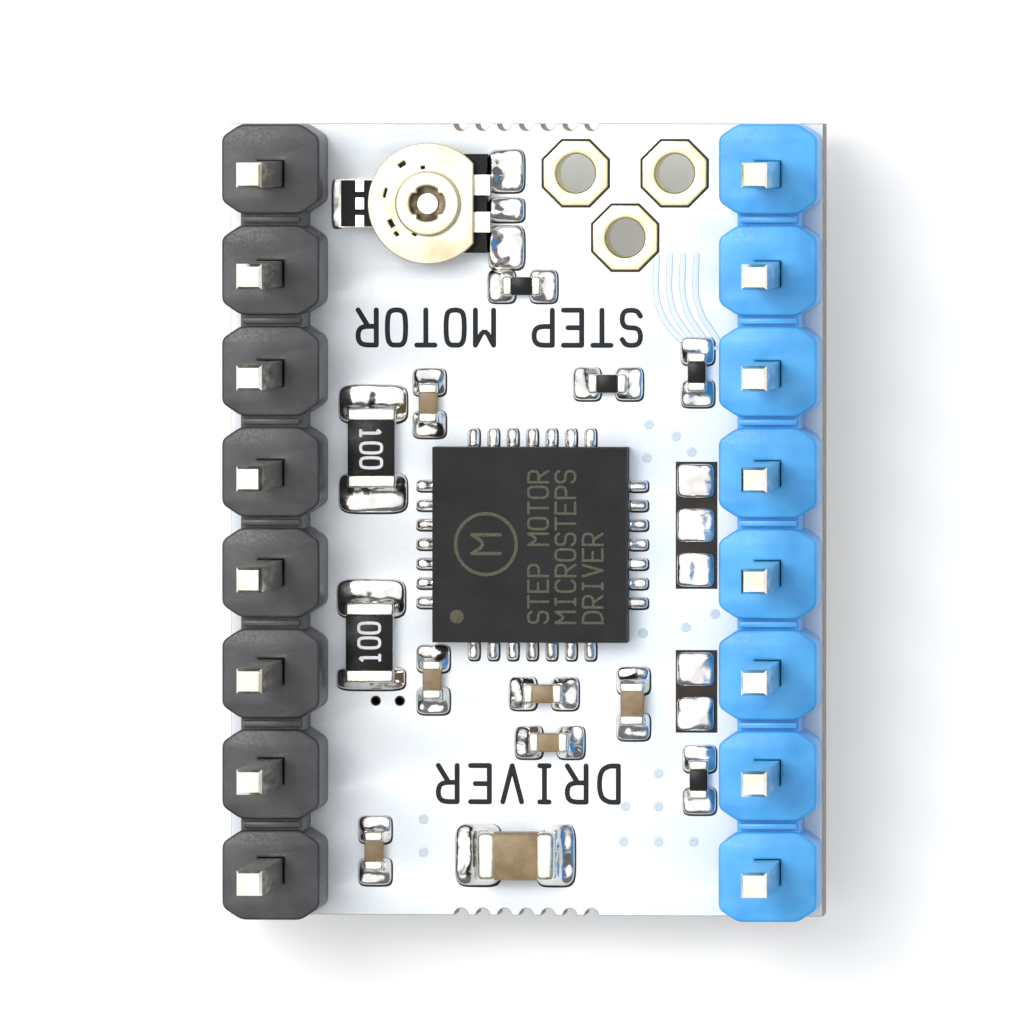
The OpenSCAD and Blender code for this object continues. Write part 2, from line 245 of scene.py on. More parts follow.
def gold_pad():
    """Thin gold over copper, darkened to olive along its edges as painted shade."""
    n = Nodes("gold_plate")
    cloud = n.noise(0.4, 4)
    grain = n.noise(0.1, 5)
    colour = n.ramp(cloud, (0.78, 0.7, 0.4), (0.86, 0.79, 0.52))
    # painted shade: olive along the pad's edges
    colour = n.mix(n.painted_edge_shading(0.09, 0.01, 0.1), colour, (0.2, 0.15, 0.05))
    return n.finish(Base_Color=colour, Metallic=1.0, Roughness=n.ramp(grain, 0.28, 0.42),
                    Normal=n.bump(grain, 0.002, 0.6))


MASK = solder_mask()
FIBRE = board_edge()
# The housings' lighter edges are a painted highlight.
BLACK_HOUSING = plastic("header_plastic_black", (0.03, 0.029, 0.032), (0.06, 0.057, 0.062), 0.4,
                        edge_highlight=(0.1, 0.1, 0.105))
BLUE_HOUSING = plastic("header_plastic_blue", (0.035, 0.32, 0.76), (0.07, 0.43, 0.9), 0.36,
                       edge_highlight=(0.14, 0.5, 0.92))
PIN_METAL = metal("pin_tin_plate", (0.72, 0.67, 0.55), (0.92, 0.9, 0.82), 0.15, spread=0.05,
                  grain_mm=0.4, bump_mm=0.0006, stretch=(2, 2, 0.3))
SOLDER = metal("solder_bright", (0.62, 0.6, 0.58), (0.93, 0.91, 0.89), 0.17, spread=0.07,
               grain_mm=0.2, bump_mm=0.003)
TIN = metal("tin_plate_satin", (0.72, 0.69, 0.58), (0.92, 0.9, 0.79), 0.33, grain_mm=0.08,
            bump_mm=0.004)
GOLD = gold_pad()
ROTOR_METAL = rotor_plate()
# Dark metal that paints the shade inside the rotor's cross recess.
RECESS_PAINTED_SHADE = metal("rotor_recess_painted_shade", (0.06, 0.045, 0.03), (0.24, 0.19, 0.12), 0.5,
                     grain_mm=0.08, bump_mm=0.01)
# The chip's lighter edges are a painted highlight.
EPOXY = plastic("chip_epoxy", (0.008, 0.0075, 0.0085), (0.015, 0.0138, 0.0155), 0.6,
                grain_mm=0.035, bump_mm=0.006, edge_highlight=(0.04, 0.038, 0.04), specular=0.25)
RESIN = plastic("trimmer_resin_black", (0.004, 0.004, 0.005), (0.009, 0.008, 0.008), 0.5,
                specular=0.2)
COAT = plastic("resistor_glass_black", (0.004, 0.004, 0.004), (0.01, 0.009, 0.009), 0.3,
               bump_mm=0.002, specular=0.2)
ALUMINA = ceramic("alumina_white", (0.72, 0.74, 0.75), (0.86, 0.87, 0.87), 0.5)
TAN = ceramic("capacitor_ceramic_tan", (0.17, 0.108, 0.047), (0.3, 0.205, 0.095), 0.42)
# Near-black board: seen between the jumper pads, and painted shade in the rims around pads.
LAMINATE_AND_SHADE = ceramic("laminate_and_painted_shade", (0.004, 0.003, 0.002), (0.03, 0.017, 0.009), 0.7)
INK = ink("print_black", (0.003, 0.003, 0.004), (0.014, 0.014, 0.018), 0.75)
WHITE_INK = ink("print_white", (0.75, 0.76, 0.77), (0.95, 0.95, 0.95))
LASER = ink("laser_mark_grey", (0.05, 0.048, 0.03), (0.13, 0.125, 0.085), 0.75)
VIA_TINT = ink("covered_via_grey", (0.5, 0.58, 0.64), (0.62, 0.69, 0.74), 0.4)
TRACK_TINT = ink("covered_track_tint", (0.66, 0.74, 0.83), (0.74, 0.8, 0.87), 0.35)
DARK_HOLE = ink("hole_shadow", (0.004, 0.004, 0.004), (0.01, 0.01, 0.01), 0.8)
CARBON = ink("carbon_track", (0.02, 0.018, 0.015), (0.05, 0.045, 0.04), 0.5)
COPPER = metal("lead_frame_copper", (0.7, 0.4, 0.27), (0.85, 0.52, 0.36), 0.3)
SILICON = ceramic("silicon_grey", (0.2, 0.22, 0.25), (0.3, 0.32, 0.36), 0.15)


# ---------- Mesh building, in millimetres ----------

def piece(name, bm, materials, body=MAIN, replaces=(), sharp=32):
    """Turns a millimetre bmesh into an object that rides on a body."""
    bmesh.ops.scale(bm, vec=(MM, MM, MM), verts=bm.verts)
    bm.normal_update()
    mesh = bpy.data.meshes.new(name)
    bm.to_mesh(mesh)
    bm.free()
    for material in materials:
        mesh.materials.append(material)
    mesh.shade_smooth()
    mesh.set_sharp_from_angle(angle=math.radians(sharp))
    obj = bpy.data.objects.new(name, mesh)
    bpy.context.scene.collection.objects.link(obj)
    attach(obj, body)
    if replaces:
        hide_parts(*replaces)


def paint(bm, old_faces, index):
    """Gives every face that isn't in old_faces the material index."""
    for face in bm.faces:
        if face not in old_faces:
            face.material_index = index


def add_box(bm, low, high, edge=0.0, segments=2, matrix=None):
    """Box with rounded edges, then moved by the matrix."""
    old = set(bm.faces)
    verts = bmesh.ops.create_cube(bm, size=1.0)["verts"]
    size = Vector(high) - Vector(low)
    bmesh.ops.scale(bm, vec=size, verts=verts)
    bmesh.ops.translate(bm, vec=(Vector(high) + Vector(low)) / 2, verts=verts)
    if edge:
        edges = list({e for v in verts for e in v.link_edges})
        bmesh.ops.bevel(bm, geom=edges, offset=edge, segments=segments, profile=0.5,
                        affect="EDGES", clamp_overlap=True)
    if matrix:
        new_verts = {v for f in bm.faces if f not in old for v in f.verts}
        bmesh.ops.transform(bm, matrix=matrix, verts=list(new_verts))


def circle_points(centre, radius, steps=64, start=0.0):
    return [(centre[0] + radius * math.cos(start + FULL_TURN * i / steps),
             centre[1] + radius * math.sin(start + FULL_TURN * i / steps)) for i in range(steps)]


def add_plate(bm, loops, low, high, edge=0.0, index=0):
    """Flat piece cut along closed outlines, from z low to z high, with rounded edges."""
    old = set(bm.faces)
    curve = bpy.data.curves.new("outline", "CURVE")
    curve.dimensions = "2D"
    curve.fill_mode = "BOTH"
    curve.extrude = (high - low) / 2 - edge
    curve.bevel_depth = edge
    curve.bevel_resolution = 2
    curve.offset = -edge
    for loop in loops:
        spline = curve.splines.new("POLY")
        spline.points.add(len(loop) - 1)
        for point, (x, y) in zip(spline.points, loop):
            point.co = (x, y, 0, 1)
        spline.use_cyclic_u = True
    outline = bpy.data.objects.new("outline", curve)
    bpy.context.scene.collection.objects.link(outline)
    depsgraph = bpy.context.evaluated_depsgraph_get()
    mesh = bpy.data.meshes.new_from_object(outline.evaluated_get(depsgraph))
    mesh.transform(Matrix.Translation((0, 0, (low + high) / 2)))
    bm.from_mesh(mesh)
    bpy.data.objects.remove(outline)
    bpy.data.curves.remove(curve)
    bpy.data.meshes.remove(mesh)
    new_verts = list({v for f in bm.faces if f not in old for v in f.verts})
    bmesh.ops.remove_doubles(bm, verts=new_verts, dist=1e-4)
    new_faces = [f for f in bm.faces if f not in old]
    bmesh.ops.recalc_face_normals(bm, faces=new_faces)
    paint(bm, old, index)


def add_lathe(bm, profile, centre, steps=64, closed=False):
    """Turns a list of (radius, z) points about a vertical axis."""
    old = set(bm.faces)
    rings = []
    for radius, z in profile:
        if radius == 0:
            rings.append([bm.verts.new((centre[0], centre[1], z))])
        else:
            rings.append([bm.verts.new((x, y, z)) for x, y in circle_points(centre, radius, steps)])
    pairs = list(zip(rings, rings[1:]))
    if closed:
        pairs.append((rings[-1], rings[0]))
    for a, b in pairs:
        for i in range(steps):
            j = (i + 1) % steps
            corners = [a[i % len(a)], a[j % len(a)], b[j % len(b)], b[i % len(b)]]
            bm.faces.new(list(dict.fromkeys(corners)))
    new_faces = [f for f in bm.faces if f not in old]
    bmesh.ops.recalc_face_normals(bm, faces=new_faces)


SOLDER_LIP = 0.012              # height of a pool just inside its rim
LUMP_RATE = (2.6, 6)            # how fast the broad and the fine lumps in solder change, per mm
pools = []                      # centre, half size, turn and squareness of each pool of solder


def rim_point(i, steps, half, power, margin=0.0):
    """Point i of a rectangle's outline whose corners get squarer with power."""
    a = FULL_TURN * (i + 0.5) / steps
    c, s = math.cos(a), math.sin(a)
    reach = (abs(c) ** power + abs(s) ** power) ** (-1 / power)
    return c * reach * (half[0] + margin), s * reach * (half[1] + margin)


def add_solder(bm, centre, half, height, turn=0.0, power=5.0, rings=12, steps=56, lumps=0.3):
    """Pool of solder on a pad with rounded corners: height(x, y) is its surface above the
    board, with x and y in the pad's own axes, and it falls to nothing at the rim."""
    pools.append((centre, half, turn, power))
    cos, sin = math.cos(turn), math.sin(turn)
    seat = Vector((random.uniform(0, 50), random.uniform(0, 50), 0))

    def lumpy(x, y):
        broad = noise.noise(Vector((x, y, 0)) * LUMP_RATE[0] + seat)
        fine = noise.noise(Vector((x, y, 9)) * LUMP_RATE[1] + seat)
        return height(x, y) * (1 + lumps * (broad + 0.15 * fine))

    def vertex(x, y, z):
        return bm.verts.new((centre[0] + x * cos - y * sin, centre[1] + x * sin + y * cos, z))

    rim = [rim_point(i, steps, half, power) for i in range(steps)]
    layers = [[vertex(x, y, TOP) for x, y in rim]]
    for k in range(rings):
        share = 1 - (k / rings) ** 1.3
        swell = math.sqrt(1 - (share * 0.995) ** 5)
        layer = []
        for x, y in ((share * x, share * y) for x, y in rim):
            layer.append(vertex(x, y, TOP + SOLDER_LIP + (lumpy(x, y) - SOLDER_LIP) * swell))
        layers.append(layer)
    for a, b in zip(layers, layers[1:]):
        for i in range(steps):
            j = (i + 1) % steps
            bm.faces.new((a[i], a[j], b[j], b[i]))
    top = vertex(0, 0, TOP + lumpy(0, 0))
    foot = vertex(0, 0, TOP)
    for i in range(steps):
        j = (i + 1) % steps
        bm.faces.new((layers[-1][i], layers[-1][j], top))
        bm.faces.new((layers[0][j], layers[0][i], foot))


def add_lines(bm, strokes, width, z, rise):
    """Flat round-ended lines along lists of (x, y) points."""
    curve = bpy.data.curves.new("strokes", "CURVE")
    curve.dimensions = "3D"
    curve.bevel_depth = width / 2
    curve.bevel_resolution = 2
    curve.use_fill_caps = True
    for stroke in strokes:
        spline = curve.splines.new("POLY")
        spline.points.add(len(stroke) - 1)
        for point, (x, y) in zip(spline.points, stroke):
            point.co = (x, y, 0, 1)
    thread = bpy.data.objects.new("strokes", curve)
    bpy.context.scene.collection.objects.link(thread)
    depsgraph = bpy.context.evaluated_depsgraph_get()
    mesh = bpy.data.meshes.new_from_object(thread.evaluated_get(depsgraph))
    mesh.transform(Matrix.Translation((0, 0, z)) @ Matrix.Diagonal((1, 1, 2 * rise / width, 1)))
    bm.from_mesh(mesh)
    bpy.data.objects.remove(thread)
    bpy.data.curves.remove(curve)
    bpy.data.meshes.remove(mesh)
    ends = {p for stroke in strokes for p in (stroke[0], stroke[-1])}
    for x, y in sorted(ends):
        ball = bmesh.ops.create_uvsphere(bm, u_segments=12, v_segments=6, radius=width / 2)["verts"]
        bmesh.ops.scale(bm, vec=(1, 1, 2 * rise / width), verts=ball)
        bmesh.ops.translate(bm, vec=(x, y, z), verts=ball)


# ---------- Lettering: a plain stroke alphabet on a grid 4 wide and 6 high ----------

ROUND_O = [(2, 6), (0.8, 6), (0, 5), (0, 1), (0.8, 0), (3.2, 0), (4, 1), (4, 5), (3.2, 6), (2, 6)]
BOWL_P = [(0, 6), (3, 6), (4, 5.2), (4, 3.6), (3, 2.8), (0, 2.8)]
STEM = [(0, 0), (0, 6)]
GLYPHS = {
    "S": [[(4, 5), (3.2, 6), (0.8, 6), (0, 5.2), (0, 3.8), (0.8, 3), (3.2, 3), (4, 2.2),
           (4, 0.8), (3.2, 0), (0.8, 0), (0, 1)]],
    "T": [[(0, 6), (4, 6)], [(2, 6), (2, 0)]],
    "E": [STEM, [(0, 6), (4, 6)], [(0, 0), (4, 0)], [(0, 3), (3, 3)]],
    "P": [STEM, BOWL_P],
    "M": [STEM, [(0, 6), (2, 3), (4, 6)], [(4, 6), (4, 0)]],
    "O": [ROUND_O],
    "R": [STEM, BOWL_P, [(1.8, 2.8), (4, 0)]],
    "C": [[(4, 5), (3.2, 6), (0.8, 6), (0, 5), (0, 1), (0.8, 0), (3.2, 0), (4, 1)]],
    "D": [STEM, [(0, 6), (2.4, 6), (4, 4.8), (4, 1.2), (2.4, 0), (0, 0)]],
    "I": [[(1, 6), (3, 6)], [(2, 6), (2, 0)], [(1, 0), (3, 0)]],
    "V": [[(0, 6), (2, 0)], [(2, 0), (4, 6)]],
    "0": [ROUND_O],
    "1": [[(1, 5), (2, 6), (2, 0)], [(1, 0), (3, 0)]],
    "2": [[(0, 5), (0.8, 6), (3.2, 6), (4, 5), (4, 4), (0, 0), (4, 0)]],
    "3": [[(0, 6), (4, 6), (2, 3.6), (3.2, 3.6), (4, 2.6), (4, 1), (3.2, 0), (0.8, 0), (0, 1)]],
    "4": [[(3, 0), (3, 6), (0, 2), (4, 2)]],
    "5": [[(4, 6), (0.4, 6), (0, 3.4), (2.8, 3.6), (4, 2.6), (4, 1), (3.2, 0), (0.8, 0), (0, 1)]],
    "6": [[(3.6, 6), (1.6, 5.4), (0, 3), (0, 1), (0.8, 0), (3.2, 0), (4, 1), (4, 2.4), (3.2, 3.4),
           (0.8, 3.4), (0, 2.4)]],
    "7": [[(0, 6), (4, 6), (1.4, 0)]],
    "8": [[(2, 3.2), (0.8, 3.4), (0.2, 4.4), (0.2, 5.2), (1, 6), (3, 6), (3.8, 5.2), (3.8, 4.4),
           (3.2, 3.4), (0.8, 3), (0, 2), (0, 0.9), (0.9, 0), (3.1, 0), (4, 0.9), (4, 2), (3.2, 3),
           (2, 3.2)]],
    " ": [],
}


def softened(points, rounds=2):
    """Cuts the corners of a line of points, keeping its two ends."""
    for _ in range(rounds):
        if len(points) < 3:
            return points
        cut = [points[0]]
        for (ax, ay), (bx, by) in zip(points, points[1:]):
            cut += [(ax * 0.75 + bx * 0.25, ay * 0.75 + by * 0.25),
                    (ax * 0.25 + bx * 0.75, ay * 0.25 + by * 0.75)]
        points = cut + [points[-1]]
    return points


def text_strokes(text, centre, height, spacing, turn, mirror=1, narrow=1.0):
    """The strokes of a line of letters, centred and turned about its middle."""
    unit = height / 6
    cos, sin = math.cos(turn), math.sin(turn)
    left = -(len(text) - 1) * spacing / 2 - 2 * unit * narrow
    lines = []
    for k, letter in enumerate(text):
        for stroke in GLYPHS[letter]:
            line = []
            for x, y in softened(stroke):
                px = mirror * (left + k * spacing + x * unit * narrow)
                py = (y - 3) * unit
                line.append((centre[0] + px * cos - py * sin, centre[1] + px * sin + py * cos))
            lines.append(line)
    return lines


# ---------- Board ----------

NOTCH_R = 0.18
NOTCH_PITCH = 0.56
NOTCHES = 7
PIN_HOLE_R = 0.5
SOCKET_R = 0.5
SOCKET_WALL = 0.16
VIA_R = 0.12
OPEN_VIAS = ((-3.88, -4.66), (-3.26, -4.66))


def notched_outline():
    """The board's rectangle with a row of half-round notches on both short edges."""
    points = []
    for side in (1, -1):
        y = side * board_high.y
        points.append((-side * board_high.x, y))
        for i in range(NOTCHES):
            x = side * (i - (NOTCHES - 1) / 2) * NOTCH_PITCH
            for k in range(13):
                a = math.pi * k / 12
                points.append((x - side * NOTCH_R * math.cos(a), y - side * NOTCH_R * math.sin(a)))
        points.append((side * board_high.x, y))
    return points


def pin_places():
    """Middles of all pins, the black row first."""
    return [centre_mm(f"{row}_header_pin_{i + 1}") for row in ROWS for i in range(PINS)]


def socket_places():
    return [centre_mm(f"test_socket_{i + 1}") for i in range(3)]


def build_board():
    bm = bmesh.new()
    loops = [notched_outline()]
    loops += [circle_points(p, PIN_HOLE_R, 40) for p in pin_places()]
    loops += [circle_points(p, SOCKET_R + SOCKET_WALL) for p in socket_places()]
    loops += [circle_points(p, VIA_R, 24) for p in OPEN_VIAS]
    add_plate(bm, loops, UNDER, TOP, 0.03)
    for face in bm.faces:
        face.material_index = 0 if abs(face.normal.z) > 0.95 else 1
    piece("board_laminate", bm, [MASK, FIBRE], replaces=("circuit_board",))


# ---------- Copper under the lacquer, covered vias and print ----------

TRACK_W = 0.16
TRACK_STEP = 0.34
TRACK_RISE = 0.004
PRINT_W = 0.13
LINE_RISE = 0.012


def build_tracks():
    """Copper tracks under the lacquer: faint parallel runs beside the blue header."""
    header_x = box_mm("blue_header_housing")[0].x
    socket_low = min(box_mm(f"test_socket_{i + 1}")[0].y for i in range(3))
    routes = []
    for i in range(4):
        step = TRACK_STEP * i
        routes.append([(header_x - 1.75 + step, socket_low + 0.4),
                       (header_x - 1.8 + step, socket_low - 0.9),
                       (header_x - 1.2 + step, socket_low - 1.8),
                       (header_x - 0.6 + step / 2, socket_low - 2)])
    bm = bmesh.new()
    add_lines(bm, [softened(r, 3) for r in routes], TRACK_W, TOP, TRACK_RISE)
    piece("masked_tracks", bm, [TRACK_TINT], sharp=180)


VIAS = ((3.15, 2.45), (3.85, 2.15), (3.1, 1.6), (4.25, 1.75), (4.85, -2.4), (4.1, -2.75),
        (3.0, -2.9), (3.4, -6.5), (2.55, -7.35), (3.4, -7.35), (2.5, -8.25), (3.4, -8.25),
        (4.3, -8.25), (-2.65, -7.7), (-2.65, -8.55))
VIA_PAD_R = 0.1


def build_vias():
    """Covered vias: shallow dished dots in the lacquer; two open ones are dark wells."""
    bm = bmesh.new()
    for place in VIAS:
        add_lathe(bm, [(VIA_PAD_R + 0.03, TOP), (VIA_PAD_R, TOP + 0.008), (0.06, TOP + 0.007),
                       (0.03, TOP + 0.002), (0, TOP + 0.001)], place, 24)
    piece("covered_vias", bm, [VIA_TINT], sharp=180)
    bm = bmesh.new()
    for place in OPEN_VIAS:
        add_lathe(bm, [(VIA_R, TOP - 0.001), (VIA_R, UNDER + 0.001), (VIA_R - 0.02, UNDER + 0.001),
                       (VIA_R - 0.02, TOP - 0.001)], place, 24, closed=True)
    piece("open_via_walls", bm, [DARK_HOLE])


def build_print():
    """Generic words on the board, upside down as seen with the trimmer at the far end."""
    strokes = text_strokes("STEP MOTOR", (-0.7, 4.93), 0.9, 0.755, math.pi, narrow=0.78)
    strokes += text_strokes("DRIVER", (0.05, -6.78), 0.93, 0.83, math.pi, narrow=0.78)
    bm = bmesh.new()
    add_lines(bm, strokes, PRINT_W, TOP, LINE_RISE)
    piece("board_print", bm, [INK], sharp=180)


# ---------- Headers ----------

def rounded(node, materials, width_mm, segments=2, sharp=30):
    """Gives a carried-over CAD node its material and small rounded edges."""
    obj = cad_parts[node]
    obj.data.materials.clear()
    for material in materials:
        obj.data.materials.append(material)
    obj.data.shade_smooth()
    obj.data.set_sharp_from_angle(angle=math.radians(sharp))
    if width_mm:
        bevel = obj.modifiers.new("rounded_edges", "BEVEL")
        bevel.width = width_mm * MM
        bevel.segments = segments
        bevel.limit_method = "ANGLE"
        bevel.angle_limit = math.radians(30)
        bevel.use_clamp_overlap = True
        bevel.harden_normals = True


CELL_GAP = 0.28
CELL_CHAMFER = (0.48, 0.32)
CELL_SOFT = 0.14                # how far the rounding of a corner runs along each side
GROOVE = 0.065                  # groove on each side of the neck between two cells
GROOVE_DEPTH = 0.3
NECK_DROP = 0.05                # the neck's ridge is this much lower than the cells
CHANNEL_GAP = 0.012             # between a pin and its housing


def cell_outline(low, high):
    """Octagon with softened corners."""
    cut_x, cut_y = CELL_CHAMFER
    corners = [(low.x + cut_x, low.y), (high.x - cut_x, low.y), (high.x, low.y + cut_y),
               (high.x, high.y - cut_y), (high.x - cut_x, high.y), (low.x + cut_x, high.y),
               (low.x, high.y - cut_y), (low.x, low.y + cut_y)]
    points = []
    for before, here, after in zip(corners[-1:] + corners, corners, corners[1:] + corners[:1]):
        here, before, after = Vector(here), Vector(before), Vector(after)
        start = here + (before - here).normalized() * CELL_SOFT
        stop = here + (after - here).normalized() * CELL_SOFT
        for t in (0, 0.33, 0.67, 1):
            p = start * (1 - t) ** 2 + here * 2 * t * (1 - t) + stop * t * t
            points.append((p.x, p.y))
    return points


def build_housing(row, material):
    """Eight cells and the lower necks between them, with a square channel around each pin."""
    node = f"{row}_header_housing"
    low, high = box_mm(node)
    pitch = (high.y - low.y + CELL_GAP) / PINS
    bm = bmesh.new()
    for i in range(PINS):
        pin_low, pin_high = box_mm(f"{row}_header_pin_{i + 1}")
        middle = (pin_low + pin_high) / 2
        half = (pin_high.x - pin_low.x) / 2 + CHANNEL_GAP
        start = Vector((low.x, high.y - pitch * i - (pitch - CELL_GAP)))
        stop = Vector((high.x, high.y - pitch * i))
        channel = [(middle.x + half * a, middle.y + half * b)
                   for a, b in ((1, 1), (-1, 1), (-1, -1), (1, -1))]
        add_plate(bm, [cell_outline(start, stop), channel], low.z, high.z, 0.07)
        if i < PINS - 1:
            left = low.x + CELL_CHAMFER[0]
            right = high.x - CELL_CHAMFER[0]
            y = start.y - CELL_GAP / 2
            deep = CELL_GAP / 2 + 0.1
            add_box(bm, (left - 0.02, y - deep, low.z),
                    (right + 0.02, y + deep, high.z - GROOVE_DEPTH), 0.01, 1)
            ridge = CELL_GAP / 2 - GROOVE
            add_box(bm, (left + 0.04, y - ridge, low.z + 0.02),
                    (right - 0.04, y + ridge, high.z - NECK_DROP), 0.04)
    piece(f"{row}_header_cells", bm, [material], replaces=(node,),
          sharp=40)


def build_headers():
    for row, material in zip(ROWS, (BLACK_HOUSING, BLUE_HOUSING)):
        build_housing(row, material)
        for i in range(PINS):
            rounded(f"{row}_header_pin_{i + 1}", [PIN_METAL], 0.03)


JOINT_R = 0.85
JOINT_TIP_R = 0.36
JOINT_H = 0.6
TAIL_R = 0.3                    # inside of the solder around a pin


def build_pin_joints():
    """Concave solder cones around the tails, and rings of solder in the holes' upper ends."""
    bm = bmesh.new()
    for place in pin_places():
        profile = [(JOINT_R, UNDER)]
        for k in range(13):
            t = k / 12
            profile.append((JOINT_TIP_R + (JOINT_R - 0.02 - JOINT_TIP_R) * (1 - t) ** 2.2,
                            UNDER - 0.03 - (JOINT_H - 0.03) * t))
        profile += [(TAIL_R, UNDER - JOINT_H), (TAIL_R, UNDER)]
        add_lathe(bm, profile, place, 48, closed=True)
        add_lathe(bm, [(PIN_HOLE_R - 0.005, UNDER), (PIN_HOLE_R - 0.005, TOP), (TAIL_R, TOP),
                       (TAIL_R, UNDER)], place, 32, closed=True)
    piece("pin_solder", bm, [SOLDER], replaces=("pin_solder_joints",), sharp=50)


# ---------- Driver chip ----------

LEADS = 7
LEAD_PITCH = 0.5
LEAD_W = 0.24
FOOT = 0.48                     # solder in front of each lead
DIE_PAD_HALF = 1.55


def build_chip():
    rounded("driver_chip_body", [EPOXY], 0.025, 1)
    rounded("driver_chip_leads", [TIN], 0.01, 1)
    rounded("driver_chip_die_pad", [COPPER], 0.02, 1)
    rounded("driver_chip_die", [SILICON], 0.01, 1)
    low, high = box_mm("driver_chip_body")
    middle = (low + high) / 2
    half = (high.x - low.x) / 2
    bm = bmesh.new()
    for turn in range(4):
        angle = turn * math.pi / 2
        for i in range(LEADS):
            along = (i - (LEADS - 1) / 2) * LEAD_PITCH
            out = half + FOOT / 2 - 0.02
            x = middle.x + out * math.cos(angle) - along * math.sin(angle)
            y = middle.y + out * math.sin(angle) + along * math.cos(angle)
            wet = random.uniform(0.12, 0.18)
            lean = random.uniform(-0.03, 0.03)

            def surface(u, v, wet=wet, lean=lean):
                reach = max(0.0, u + FOOT / 2)
                return FILM + 0.1 + wet * math.exp(-reach / 0.13) - 2.4 * v * v + lean * v / LEAD_W

            add_solder(bm, (x, y), (FOOT / 2 + 0.02, LEAD_W / 2 + 0.03), surface, angle,
                       power=4.0, rings=7, steps=32)
    add_box(bm, (middle.x - DIE_PAD_HALF, middle.y - DIE_PAD_HALF, TOP),
            (middle.x + DIE_PAD_HALF, middle.y + DIE_PAD_HALF, TOP + FILM), 0.01)
    piece("driver_chip_solder_feet", bm, [SOLDER], replaces=("driver_chip_solder",),
          sharp=80)
    build_chip_marks(middle, half, high.z)


def build_chip_marks(middle, half, top):
    """Generic laser marks: a ring with a motor's M, three plain words, the first lead's dot."""
    rise = 0.005
    letter_step = 0.4
    badge = (middle.x - 1.12, middle.y + 0.02)
    bm = bmesh.new()
    ring = circle_points(badge, 0.78, 48)
    strokes = [ring + ring[:1]] + text_strokes("M", badge, 0.72, 0.7, math.pi / 2)
    add_lines(bm, strokes, 0.1, top, rise)
    words = []
    for k, word in enumerate(("STEP MOTOR", "MICROSTEPS", "DRIVER")):
        length = (len(word) - 1) * letter_step
        place = (middle.x + 0.22 + 0.7 * k, middle.y - 1.85 + length / 2)
        words += text_strokes(word, place, 0.5, letter_step, math.pi / 2, narrow=0.85)
    add_lines(bm, words, 0.075, top, rise)
    add_lathe(bm, [(0.18, top), (0.17, top + rise), (0, top + rise)],
              (middle.x - half + 0.63, middle.y - half + 0.66), 32)
    piece("driver_chip_marks", bm, [LASER], sharp=180)


# ---------- Trimmer ----------

POST_R = 0.17
RUNNING_GAP = 0.03
HUB_R = 0.825
RECESS_R = 0.45
RECESS_SLOT_W = 0.5
DISC_T = 0.18
FLOOR_T = 0.1
STAMPED_MARKS = ((1.2, 0.1, 119, 128), (1.13, 0.05, 160, 172), (1.07, 0.1, 203, 214),
                 (1.12, 0.07, 221, 227), (0.93, 0.07, 95, 101), (0.86, 0.05, 243, 250))
TRIMMER_PADS = ((0.28, 1.4), (-0.48, 0.16), (-1.7, -0.56))    # edges, from the middle line
WIPER_PAD_HALF = (0.14, 0.62)


def cross_points(radius, slot_w, steps=9):
    """Outline of a cross whose four arms end on a circle."""
    half = slot_w / 2
    tip = math.asin(half / radius)
    points = []
    for turn in range(4):
        base = turn * math.pi / 2
        for k in range(steps):
            a = base - tip + 2 * tip * k / (steps - 1)
            points.append((radius * math.cos(a), radius * math.sin(a)))
        corner = base + math.pi / 4
        inner = half * math.sqrt(2)
        points.append((inner * math.cos(corner), inner * math.sin(corner)))
    return points


def shifted(points, place):
    return [(x + place.x, y + place.y) for x, y in points]


def arc_slot(radius, width, start, stop, steps=6):
    """Outline of a slot that follows an arc; angles in degrees."""
    angles = [math.radians(start + (stop - start) * k / steps) for k in range(steps + 1)]
    outer, inner = radius + width / 2, radius - width / 2
    return ([(outer * math.cos(a), outer * math.sin(a)) for a in angles]
            + [(inner * math.cos(a), inner * math.sin(a)) for a in reversed(angles)])


def build_rotor():
    low, high = box_mm("trimmer_rotor")
    radius = (high.y - low.y) / 2
    centre = Vector((low.x + radius, (low.y + high.y) / 2, 0))
    flat = high.x - centre.x
    limit = math.acos(flat / radius)
    disc = [(radius * math.cos(a), radius * math.sin(a))
            for a in (limit + (FULL_TURN - 2 * limit) * k / 96 for k in range(97))]
    bm = bmesh.new()
    slots = [shifted(arc_slot(*mark), centre) for mark in STAMPED_MARKS]
    inner = shifted(circle_points((0, 0), HUB_R - 0.05), centre)
    add_plate(bm, [shifted(disc, centre), inner] + slots, low.z, low.z + DISC_T, 0.03)
    hub = shifted(circle_points((0, 0), HUB_R, 72), centre)
    cross = shifted(cross_points(RECESS_R, RECESS_SLOT_W), centre)
    add_plate(bm, [hub, cross], low.z + FLOOR_T, high.z, 0.06)
    bore = shifted(circle_points((0, 0), POST_R + RUNNING_GAP, 40), centre)
    hub_floor = shifted(circle_points((0, 0), HUB_R - 0.02, 72), centre)
    add_plate(bm, [hub_floor, bore], low.z, low.z + FLOOR_T, 0.01, 1)
    # painted shade: the faces inside the recess get the dark metal
    shadowed = RECESS_R + 0.001
    for face in bm.faces:
        away = face.calc_center_median() - centre
        if math.hypot(away.x, away.y) < shadowed and away.z < high.z - 0.07:
            face.material_index = 1
    piece("trimmer_rotor_plate", bm, [ROTOR_METAL, RECESS_PAINTED_SHADE], ROTOR,
          ("trimmer_rotor",))


